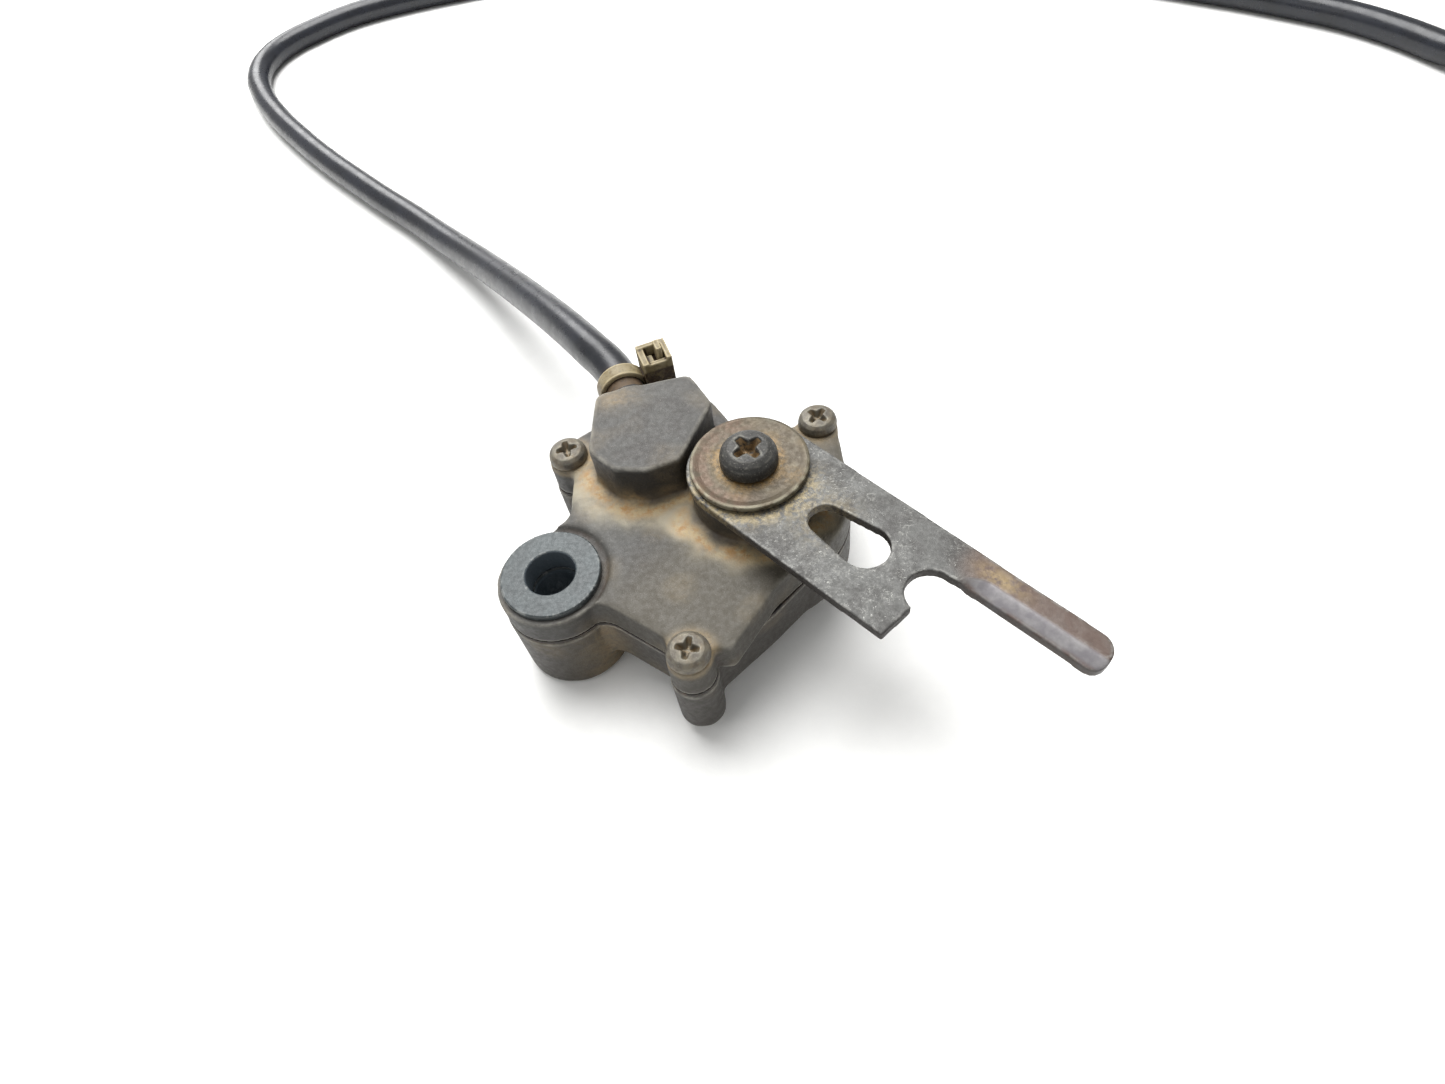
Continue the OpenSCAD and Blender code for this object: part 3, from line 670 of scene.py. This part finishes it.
def outline_gap(points, outline):
    """Distance in plan from each point to a closed outline's edge, below 0 inside it."""
    gap = np.full(len(points), np.inf)
    inside = np.zeros(len(points), bool)
    for i, b in enumerate(outline):
        a = np.array(outline[i - 1])
        way = np.array(b) - a
        from_a = points[:, :2] - a
        t = np.clip(from_a @ way / (way @ way), 0, 1)
        gap = np.minimum(gap, np.linalg.norm(from_a - t[:, None] * way, axis=1))
        crosses = (a[1] > points[:, 1]) != (b[1] > points[:, 1])
        reach = a[0] + (points[:, 1] - a[1]) * way[0] / (way[1] or 1e-9)
        inside ^= crosses & (points[:, 0] < reach)
    return np.where(inside, -gap, gap)


def dirty_case(mesh):
    """Paints dirt in bands round the cable entry's tower, the boss and the screws.

    dust is tan dirt at the foot of a wall, veil is the paler film just outside it, warm is the
    browner side of the cover, and the painted shade on upright faces is made stronger on the tower
    and the boss."""
    p = read_points(mesh)
    height = p[:, 2] - COVER_TOP
    ragged = wobble(p, 5.5)
    from_tower = outline_gap(p, TOWER) + 0.7 * ragged
    from_axis = gap_from(p, PIVOT.x, PIVOT.y) + 0.9 * ragged
    in_front = step_up(-p[:, 1], -23.5, -16.5)
    below_boss = step_up(PIVOT.y - p[:, 1], -1.0, 4.0)

    on_cover = step_up(p[:, 2], 16.2, 17.4)
    low_on_walls = step_up(height, 3.4, 0.4)
    at_tower = near(from_tower, 1.6, 1.3) * in_front
    at_boss = near(from_axis, BOSS_R + 2.3, 1.3) * below_boss
    at_screws = sum(near(gap_from(p, x, y), 3.0, 0.9) for x, y in EARS)
    dust_and_shade = on_cover * low_on_walls * np.maximum(at_tower, at_boss) + 0.4 * on_cover * at_screws
    stain = near(np.hypot(p[:, 0] - 8.5, (p[:, 1] - 25.5) * 1.6), 0, 3.4)
    dust_and_shade += 0.35 * stain * step_up(height, 5, 6)
    paint(mesh, "dust_and_shade", np.clip(dust_and_shade + 0.10 * step_up(wobble(p, 9), 0.1, 0.7), 0, 1))

    pale_tower = 1.3 * near(from_tower, 2.9, 1.9) * in_front
    pale_boss = near(from_axis, BOSS_R + 2.7, 1.7) * below_boss
    flat_top = on_cover * step_up(-height, -1.0, 0)
    paint(mesh, "veil", flat_top * np.clip(pale_tower + pale_boss, 0, 1))
    paint(mesh, "warm", step_up(0.7 * (p[:, 0] - p[:, 1]), 4, 13))
    wall = np.empty(len(p))
    mesh.attributes["wall"].data.foreach_get("value", wall)
    # Painted shade on upright faces, made stronger on the tower and the boss
    paint(mesh, "wall", wall * (1 + 0.9 * step_up(height, 0.6, 1.8)))


def cover_weight(p):
    """How strongly the cover is rounded: the top edges most, the seam and the walls' feet least."""
    height = p[:, 2] - COVER_TOP
    above_seam = step_up(p[:, 2], SEAM + 0.6, SEAM + 2.6)
    at_boss = np.abs(gap_from(p, PIVOT.x, PIVOT.y) - BOSS_R) < 1.2
    foot = (outline_gap(p, TOWER) < 1.2) | at_boss
    foot = foot & (height > -0.5) & (height < 1.2)
    tower_top = step_up(height, 4.5, 6.2)
    eye_rim = (gap_from(p) < 8.2) & (p[:, 2] > 15)
    firm = np.where(foot, 0.12, np.where(eye_rim, 0.3, 1 - 0.55 * tower_top))
    return (0.06 + 0.94 * above_seam) * firm * (1 + 0.25 * wobble(p, 6.5))


def lower_weight(p):
    """How strongly the lower case is rounded: least at the seam."""
    below_seam = step_up(-p[:, 2], -SEAM + 1.2, -SEAM + 3.0)
    return (0.06 + 0.74 * below_seam) * (1 + 0.2 * wobble(p, 7))


def make_case():
    """The cover and the lower case, rounded and dirty."""
    grid = 0.25
    cover = soften(nodes["upper_housing"].data.copy(), grid, 26, cover_weight)
    dirty_case(cover)
    piece("cover", cover, "case", "case_plastic",
          case_finish("case_plastic", "484744", "403e3b", 0.45, 1.0), "upper_housing")
    base = soften(nodes["lower_housing"].data.copy(), grid, 18, lower_weight)
    p = read_points(base)
    corner = near(gap_from(p, 5.5, -3.5), 0, 4.5)
    paint(base, "dust_and_shade", np.clip(0.5 * corner + 0.15 * step_up(wobble(p, 11), 0.2, 0.9), 0, 1))
    paint(base, "veil", np.zeros(len(p)))
    paint(base, "warm", np.full(len(p), 0.6))
    piece("lower_case", base, "case", "lower_case_plastic",
          case_finish("lower_case_plastic", "444140", "3b3938", 0.45, 0.7), "lower_housing")


def paint_collar(mesh, corners, reach):
    """Paints wear near (radius, height) corners of a collar, and its bore."""
    p = read_points(mesh)
    r = gap_from(p)
    worn = sum(near(np.hypot(r - a, p[:, 2] - b), 0, reach) for a, b in corners)
    paint(mesh, "wear_and_highlight", np.clip(worn, 0, 1))
    paint(mesh, "bore", step_up(-r, -BORE_R - 0.12, -BORE_R - 0.04))


def make_collars(finish):
    """The flanged upper collar, and the lower one whose chamfered end is seen down the bore."""
    split = 13.7
    under = EYE_TOP - 0.98
    top = rounded([
        (BORE_R, split + 0.5, 0), (BORE_R, EYE_TOP, 0.25), (FLANGE_R, EYE_TOP, 0.22),
        (FLANGE_R, under, 0.12), (COLLAR_R, under, 0), (COLLAR_R, split + 0.05, 0.1),
        (BORE_R + 0.45, split + 0.05, 0)], 4)
    mesh = lathe("collar_upper", dense([*top, top[0]])[:-1])
    paint_collar(mesh, [(6.95, 17.95), (6.95, 17.1), (3.6, 17.9)], 0.22)
    piece("collar_upper", mesh, "case", "collar_steel", finish, "eye_collar_upper")
    low = rounded([
        (BORE_R, 0, 0.25), (BORE_R, split - 0.5, 0), (BORE_R + 0.4, split - 0.05, 0),
        (COLLAR_R, split - 0.05, 0.1), (COLLAR_R, 0, 0.2)], 4)
    mesh = lathe("collar_lower", dense([*low, low[0]], 0.4)[:-1])
    paint_collar(mesh, [(3.6, 0.1), (4.7, 0.1), (3.7, 13.5)], 0.25)
    piece("collar_lower", mesh, "case", "collar_steel", finish, "eye_collar_lower")


def cross_recess(reach, half_width, top, depth):
    """A tapered cross for cutting a screw's recess, deepest at its middle."""
    inner = 1.5 * half_width
    arm = [Vector((reach, -half_width)), Vector((reach, half_width)), Vector((inner, inner))]

    def loop(scale):
        turns = [Matrix.Rotation(-math.pi / 2 * k, 2) for k in range(4)]
        return [corner * scale @ turn for turn in turns for corner in arm]

    return prism("recess", loop(0.42), loop(1.35), top - depth, top + 0.6 * depth)


def headed(name, profile, cutter, spacing, rounds):
    """A turned screw with a worn cross recess."""
    tool = add("tool", cutter)
    tool.hide_render = True
    cut = with_modifier(lathe(name, profile, 64), "BOOLEAN", object=tool, solver="EXACT")
    bpy.data.objects.remove(tool)
    return soften(cut, spacing, rounds)


def thread(radius, low, high, pitch, depth):
    """Profile of a threaded length, as rings."""
    count = int((high - low) / pitch)
    made = []
    for k in range(count):
        z = low + k * pitch
        made += [(radius - depth, z), (radius, z + 0.3 * pitch), (radius, z + 0.5 * pitch),
                 (radius - depth, z + 0.8 * pitch)]
    return made


def make_cover_screws(finish):
    """Three pan heads from one mesh, each turned its own way."""
    shank = [
        (0, 0), (0.9, 0), (1.15, 0.4), *thread(1.45, 0.5, 6.0, 0.5, 0.22), (1.3, 6.2), (1.3, 17.82)]
    head = [
        (2.82, 17.82), (2.9, 18.0), (2.88, 18.5), (2.7, 19.1), (2.2, 19.52), (1.2, 19.76), (0, 19.8)]
    mesh = headed("cover_screw", shank + head, cross_recess(1.75, 0.36, 19.75, 1.1), 0.09, 4)
    p = read_points(mesh)
    lip = near(p[:, 2], COVER_TOP + 0.1, 0.25)
    paint(mesh, "dust_and_shade", np.clip(lip + 0.35 * step_up(wobble(p, 2.5), -0.2, 0.6), 0, 1))
    for i, (x, y) in enumerate(EARS):
        made = add(f"cover_screw_{i + 1}", mesh)
        made.location = (x * MM, y * MM, 0)
        made.rotation_euler = (0, 0, math.radians(17 + 31 * i))
        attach(made, "case")
        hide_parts("cover_screws")
    mesh.materials.append(finish)


def make_tie(finish):
    """Nylon strap round the cord and the tongue, with its head and the cut tail."""
    grow = CORD_R + 0.04

    def loop(extra):
        r = grow + extra
        down = -4.95 - extra
        legs = rounded([(-r, -1, 0), (-r, down, 1.0), (r, down, 1.0), (r, -1, 0)])
        return arc((0, 0), r, 0, 180, 28) + legs

    strap = plate("strap", [loop(0.8), loop(0)], -1.25, 1.25)
    strap.transform(Matrix(((0, 0, 1, 0), (1, 0, 0, 0), (0, 1, 0, 0), (0, 0, 0, 1))))
    head = [
        block((-2.3, -8.1, 0.5), (2.3, -3.5, 2.9)), block((-2.3, -8.1, 2.8), (-1.5, -3.5, 4.7)),
        block((1.45, -8.1, 2.8), (2.3, -3.5, 5.2)), block((-2.3, -8.1, 2.8), (2.3, -7.25, 5.2)),
        block((-2.3, -4.5, 2.8), (2.3, -3.5, 5.0)), block((-1.0, -5.6, 2.8), (1.0, -4.4, 3.8))]
    tail = block((-1.15, -7.0, 2.8), (1.15, -6.1, 6.3))
    mesh = merged("tie", [strap, *head, tail])
    mesh = soften(mesh, 0.1, 9)
    p = read_points(mesh)
    low = step_up(-p[:, 2] - 0.25 * p[:, 0], -3.2, -1.2)
    # The lower part of the head's face towards the case is painted dark: painted shade of the open
    # channel under the head
    channel_shade = step_up(-p[:, 0], 1.9, 2.25) * step_up(-p[:, 1], 3.0, 3.6)
    channel_shade *= step_up(-p[:, 2], -3.7, -3.1)
    paint(mesh, "dust_and_shade", np.clip(0.55 * low + channel_shade, 0, 1))
    mesh.transform(turned(Vector(along(TIE_AT)), EXIT_TURN))
    piece("tie", mesh, "case", "tie_nylon", finish, "cable_tie")


# ---------- pieces that turn with the lever ----------


def lever_place(z):
    """From a drawing with the finger along +X to the lever's place at rest, that high."""
    return turned(Vector((PIVOT.x, PIVOT.y, z)), LEVER_REST)


def lever_loops():
    """The lever's outline, its slot and its hole, with the finger along +X."""
    notch = (30.4, -0.2)
    corners = rounded([(-0.2, -LEVER_R, 0), (29.6, -8.6, 0.2), (29.9, -3.8, 0), (29.9, -3.3, 0)])
    finger = rounded([
        (30.75, 2.98, 0), (34.5, 3.6, 3), (50.5, 3.5, 1.6), (50.2, 8.1, 2.4), (0.2, LEVER_R, 0)])
    outline = arc((0, 0), LEVER_R, 91, 269, 60) + corners + arc(notch, 3.2, 259, 84, 40) + finger
    lean = math.degrees(math.acos((2.4 - 3.3) / 6.4))
    slot = arc((13.8, -0.1), 2.4, lean, 360 - lean, 30) + arc((20.2, -0.1), 3.2, -lean, lean, 36)
    flat = math.degrees(math.asin(SHAFT_HALF_FLAT / SHAFT_R))
    hole = arc((0, 0), SHAFT_R, -flat, flat, 12) + arc((0, 0), SHAFT_R, 180 - flat, 180 + flat, 12)
    return [outline, slot, hole]


def make_lever(finish):
    """A stamped plate whose finger has its working edge set down to a flat band."""
    spacing = 0.16
    mesh = plate("lever_plate", lever_loops(), 0, LEVER_THICK)
    mesh = with_modifier(mesh, "REMESH", mode="VOXEL", voxel_size=spacing * MM)
    on_finger = step_up(read_points(mesh)[:, 0], 30.5, 34)
    relax(mesh, 9, 0.35 + 0.2 * on_finger)
    p = read_points(mesh)
    shoulder = 3.3 + 2.3 * step_up(p[:, 0], 29.5, 35.0)
    past = (shoulder - p[:, 1]) * step_up(p[:, 0], 31.0, 33.0)
    # Past the shoulder the metal slopes down by a half, with a soft start
    drop = np.maximum((past + np.sqrt(past ** 2 + 0.15)) / 4 - 0.06, 0)
    p[:, 2] -= drop * step_up(p[:, 0], 31.0, 33.5)
    p[:, 2] += 0.05 * wobble(p * (1, 1, 0), 21) * step_up(p[:, 0], 9, 20)
    write_points(mesh, p)
    survey(mesh, spacing)
    paint(mesh, "finger", step_up(p[:, 0] + 0.5 * p[:, 1] + 0.8 * wobble(p, 5), 31.5, 36.5))
    # The set-down band, which the material makes glossy and paints pale as a painted reflection
    paint(mesh, "band", step_up(past, -0.1, 0.35) * step_up(p[:, 0], 31.5, 33.5))
    paint(mesh, "lower", step_up(-p[:, 1], -4.2, -3.5))
    by_washer = near(gap_from(p), WASHER_R, 1.8) * step_up(p[:, 0] - p[:, 1], -2, 8)
    slot_rim = near(gap_from(p, 13.5), 0, 3.4)
    paint(mesh, "dust_and_shade", np.clip(by_washer + 0.6 * slot_rim, 0, 1))
    paint(mesh, "patch", near(np.hypot((p[:, 0] - 35.5) / 2.6, p[:, 1] - 6.6), 0, 1.2))
    smooth(mesh)
    mesh.transform(lever_place(LEVER_LOW))
    piece("lever_plate", mesh, "lever_arm", "lever_steel", finish, "lever")


def make_lever_washer(finish):
    """A dished washer with a raised rim."""
    line = rounded([
        (2.2, 0.02, 0), (4.6, 0.02, 0), (8.1, 0.36, 0.1), (WASHER_R, 0.6, 0), (WASHER_R, 1.12, 0.2),
        (7.75, 1.2, 0.3), (6.9, 1.0, 0.8), (4.7, 0.96, 0), (2.2, 0.96, 0)], 4)
    mesh = lathe("lever_washer_disc", dense([*line, line[0]])[:-1], 144)
    p = read_points(mesh)
    r = gap_from(p)
    # Pale rim: wear all round, plus a painted highlight that is stronger on the front side
    shade = step_up(-p[:, 1] + 0.5 * p[:, 0], -6, 5)
    paint(mesh, "wear_and_highlight", np.clip(0.25 + shade, 0, 1) * step_up(r, 7.55, 8.0))
    inner = step_up(-r, -5.6, -4.1) + 0.35 * step_up(wobble(p, 6), 0.0, 0.8)
    paint(mesh, "dust_and_shade", np.clip(inner, 0, 1))
    paint(mesh, "ring", step_up(r, 5.4, 6.2) * step_up(-p[:, 1] - p[:, 0], -3, 4))
    mesh.transform(lever_place(LEVER_TOP))
    piece("lever_washer_disc", mesh, "lever_arm", "washer_steel", finish, "lever_washer")


def make_lever_screw(finish):
    """A pan head with a rusty recess, on a short plain shank."""
    low = WASHER_TOP
    shank = [(0, 14), (1.5, 14), (1.95, 14.5), (1.95, low + 0.02)]
    head = [
        (3.9, 0.02), (4.0, 0.2), (3.98, 1.25), (3.86, 1.9),
        (3.45, 2.5), (2.7, 2.92), (1.6, 3.06), (0, 3.1)]
    profile = shank + [(r, low + z) for r, z in head]
    mesh = headed("lever_screw_m4", profile, cross_recess(2.3, 0.5, low + 3.05, 1.9), 0.11, 6)
    p = read_points(mesh)
    foot = near(p[:, 2], low, 0.3)
    in_recess = step_up(low + 2.75 - p[:, 2], 0, 0.4) * step_up(-gap_from(p), -2.5, -2.1)
    paint(mesh, "dust_and_shade", np.clip(0.7 * foot + in_recess, 0, 1))
    mesh.transform(turned(Vector((PIVOT.x, PIVOT.y, 0)), math.radians(38)))
    piece("lever_screw_m4", mesh, "lever_arm", "lever_screw_steel", finish, "lever_screw")


# ---------- plug ----------


def make_plug(finish):
    """The plug's housing with side grips and a ridged latch added to the CAD form."""
    place = turned(PLUG_AT, PLUG_TURN)
    extras = []
    for side in (-1, 1):
        for k in range(4):
            x = 2.2 + 1.5 * k
            extras.append(block((x, side * 5.8 - 0.35, 1.6), (x + 0.7, side * 5.8 + 0.35, 6.0)))
    for k in range(3):
        extras.append(block((6.2 + 1.1 * k, -1.9, 9.0), (6.7 + 1.1 * k, 1.9, 9.45)))
    extras.append(block((20.6, -5.0, 7.2), (21.9, 5.0, 8.0)))
    for mesh in extras:
        mesh.transform(place)
    whole = merged("plug", [nodes["connector_housing"].data, *extras])
    mesh = soften(whole, 0.16, 5)
    paint(mesh, "dust_and_shade", np.zeros(len(mesh.vertices)))
    piece("plug", mesh, "case", "plug_plastic", finish, "connector_housing")


# ---------- the inner parts, the floor and the cord's facts ----------


def inner_finishes():
    """A material for each CAD node that keeps its shape."""
    steel = plain_finish("spring_steel", "8d8f92", "77797c", 0.32, 1.0, 0.2)
    brass = plain_finish("contact_brass", "c8a24a", "b08c3e", 0.28, 1.0, 0.2)
    return {
        "housing_gasket": plain_finish("gasket_rubber", "2c2825", "39332d", 0.75, dirt_and_shade="5a4d3e"),
        "shaft_bush": plain_finish("bush_bronze", "a8823f", "8c6a34", 0.42, 1.0, 0.15),
        "shaft_seal": plain_finish("seal_rubber", "171717", "222120", 0.5, dirt_and_shade="3a3128"),
        "thrust_washer": plain_finish("washer_nylon", "c9c3b2", "b8b19d", 0.5),
        "contact_base": plain_finish("base_phenolic", "3a2a20", "2f221a", 0.45),
        "fixed_contact_a": brass,
        "fixed_contact_b": brass,
        "moving_contact": plain_finish("bridge_brass", "b98d3c", "a37a32", 0.3, 1.0, 0.2),
        "lead_a": plain_finish("core_red", "7a1f1a", "681915", 0.4),
        "lead_b": plain_finish("core_black", "1d1d1f", "262628", 0.4),
        "entry_potting": plain_finish("potting_resin", "23211f", "2b2926", 0.3, depth=0.06),
        "cable_grommet": plain_finish("grommet_rubber", "1c1c1c", "272524", 0.7, dirt_and_shade="4a3d2c"),
        "return_spring": steel,
        "contact_spring_a": steel,
        "contact_spring_b": steel,
        "lever_shaft": plain_finish("shaft_steel", "77797b", "66686a", 0.35, 1.0, 0.2),
        "rotor": plain_finish("rotor_acetal", "d8d2c4", "c9c2b2", 0.45),
        "retaining_clip": plain_finish("clip_steel", "5b5d60", "4b4c50", 0.4, 1.0, 0.2),
        "connector_seal": plain_finish("plug_seal_rubber", "7d3b22", "6d331d", 0.6),
        "connector_terminals": plain_finish(
            "plug_terminal_brass", "b9a36a", "a8935c", 0.3, 1.0, 0.2),
        "connector_lock": plain_finish("plug_lock_plastic", "c9c6bd", "bab7ad", 0.5),
    }


def dress_inner_parts():
    """Gives the CAD nodes that keep their shape their own materials."""
    for name, finish in inner_finishes().items():
        mesh = nodes[name].data
        mesh.materials.clear()
        mesh.materials.append(finish)


def make_floor():
    """The pale ground that the switch stands on."""
    side = 1500
    outline = [(-side, -side), (side, -side), (side, side), (-side, side)]
    floor = add("floor", plate("floor", [outline], -10, -0.1))
    paper = plain_finish("paper", "efefed", "f3f3f1", 0.85, grain=2.0, depth=0.05)
    floor.data.materials.append(paper)


# ---------- the whole scene ----------

make_camera()
cord = make_cord(cord_finish())
make_studio()

make_case()
make_collars(collar_finish("collar_steel"))
make_cover_screws(screw_finish("small_screw_steel", "6e695d", "57524a", "6b5b42", 0.9, 0.45))
make_tie(tie_finish())
make_lever(lever_finish())
make_lever_washer(washer_finish())
make_lever_screw(screw_finish("lever_screw_steel", "2c2b29", "373633", "7d6646", 0.95, 0.30))
make_plug(plain_finish("plug_plastic", "242528", "1d1e21", 0.5, grain=0.25, depth=0.04))

dress_inner_parts()
make_floor()
